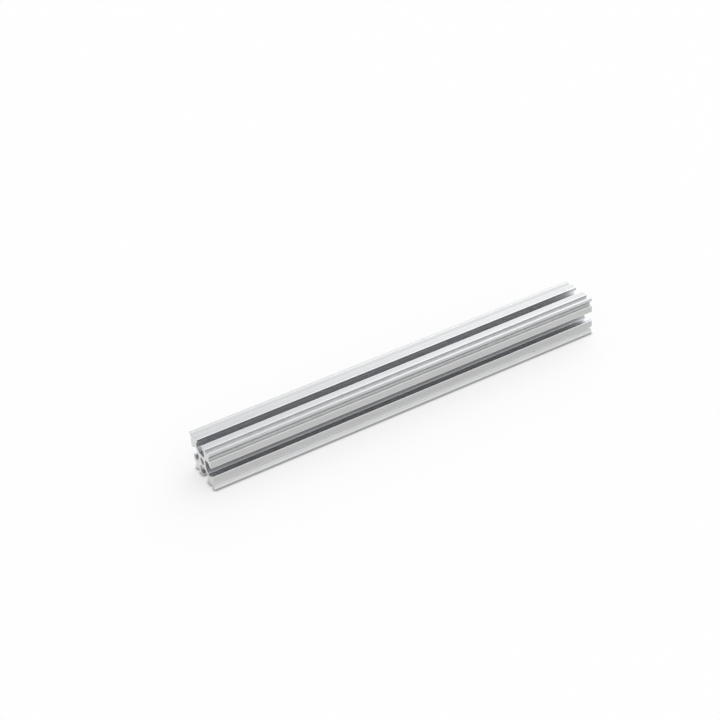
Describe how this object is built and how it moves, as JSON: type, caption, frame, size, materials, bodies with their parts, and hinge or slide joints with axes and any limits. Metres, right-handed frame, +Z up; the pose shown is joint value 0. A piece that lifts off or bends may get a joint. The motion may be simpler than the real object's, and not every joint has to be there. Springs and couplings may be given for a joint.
{
  "type": "aluminium T-slot extrusion profile",
  "caption": "Square aluminium extrusion bar with a T-slot along each side, diagonal webs, a core bore and grooved corner beads, cut square at both ends.",
  "frame": {"origin": "middle of the underside of the bar, half way along it", "axes": "+Y along the bar, +X across it, +Z up, with one pair of slots facing up and down and the other pair sideways"},
  "size_m": [0.015, 0.15, 0.015],
  "materials": {
    "anodised_aluminium": "clear satin anodised, with fine lengthwise die lines and bright sawn ends"
  },
  "bodies": {
    "root": {"t_slot_bar": "anodised_aluminium"}
  },
  "joints": []
}
